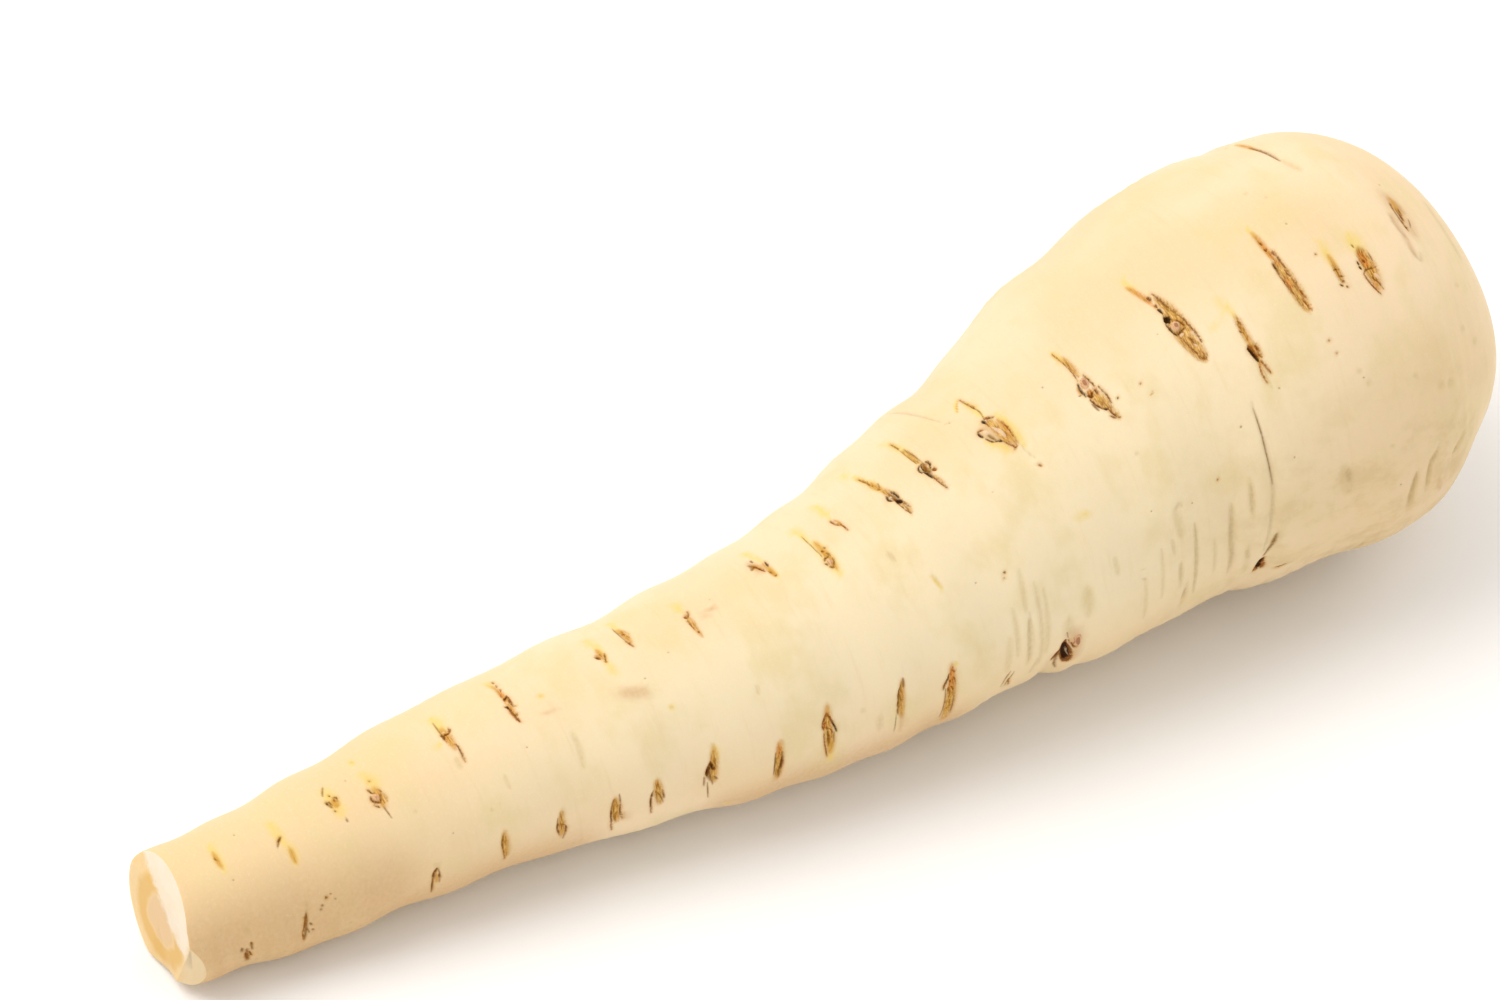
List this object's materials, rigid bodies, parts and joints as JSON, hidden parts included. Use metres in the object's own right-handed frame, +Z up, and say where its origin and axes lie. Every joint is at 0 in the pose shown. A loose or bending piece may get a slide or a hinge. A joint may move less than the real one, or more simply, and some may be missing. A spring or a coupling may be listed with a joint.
{
  "type": "parsnip",
  "caption": "Trimmed parsnip root lying on its side: broad shoulder, long taper, rows of lens-shaped side root scars and a square knife cut at the tip.",
  "frame": {"origin": "on the ground under the middle of the root's bounding box", "axes": "+X along the root from the tip cut to the crown, +Z up"},
  "size_m": [0.2214, 0.0664, 0.0659],
  "materials": {
    "parsnip_skin": "pale cream vegetable skin, satin, with yellow and brown scars"
  },
  "bodies": {
    "root": {"parsnip_root": "parsnip_skin"}
  },
  "joints": []
}
